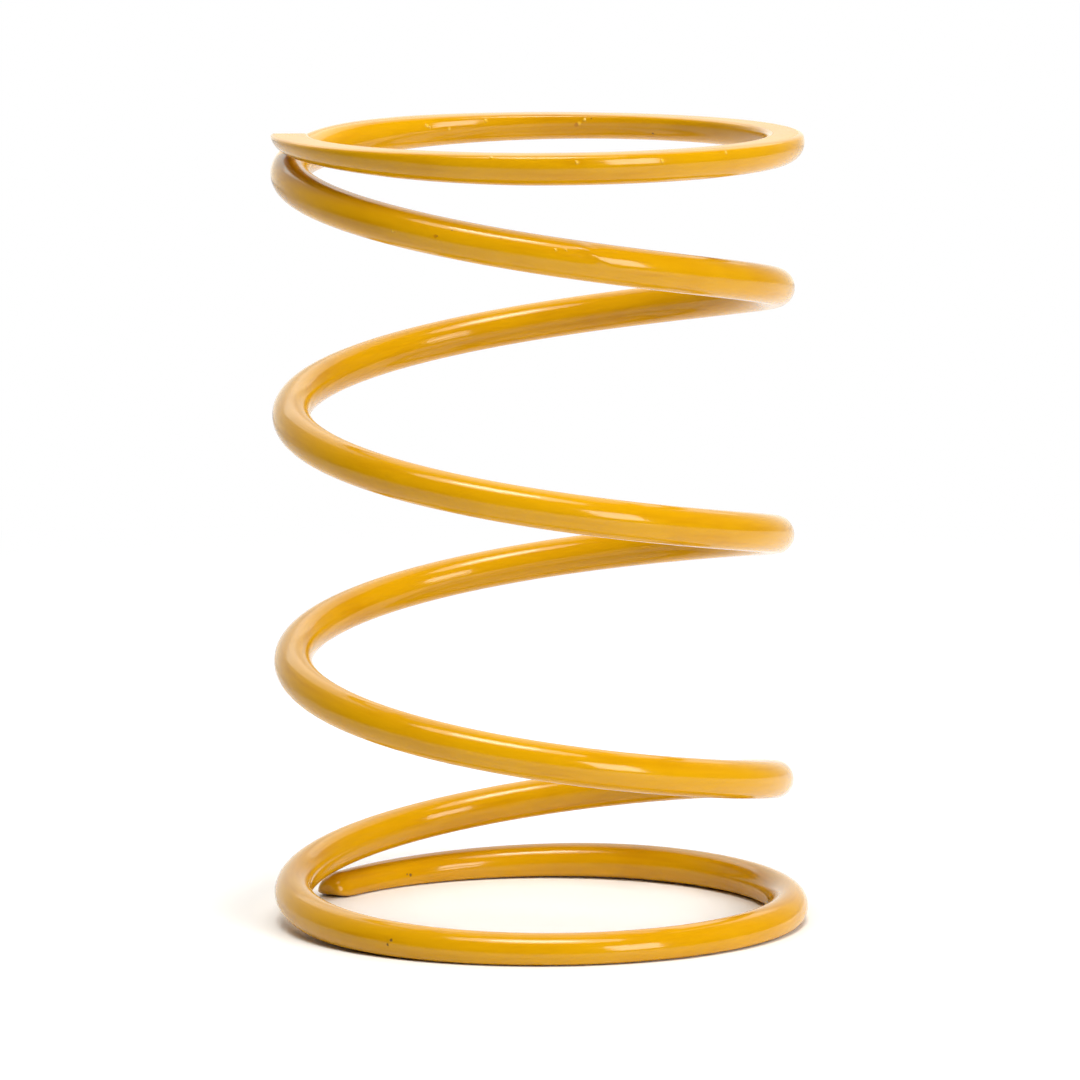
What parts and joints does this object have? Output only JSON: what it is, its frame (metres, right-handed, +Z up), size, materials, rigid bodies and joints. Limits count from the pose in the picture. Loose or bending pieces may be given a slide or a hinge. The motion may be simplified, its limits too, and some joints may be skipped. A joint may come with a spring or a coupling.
{
  "type": "torque spring",
  "caption": "Open-coil round-wire compression spring with closed, ground ends, which pushes two coaxial drive plates apart and holds belt tension.",
  "frame": {"origin": "on the coil's axis, in the plane of the bottom ground face", "axes": "+Z up along the coil's axis; the top tip lies at -X and the wire runs from it towards -Y"},
  "size_m": [0.056, 0.0565, 0.083],
  "materials": {
    "paint": "gloss"
  },
  "bodies": {
    "root": {"spring": "paint"}
  },
  "joints": []
}
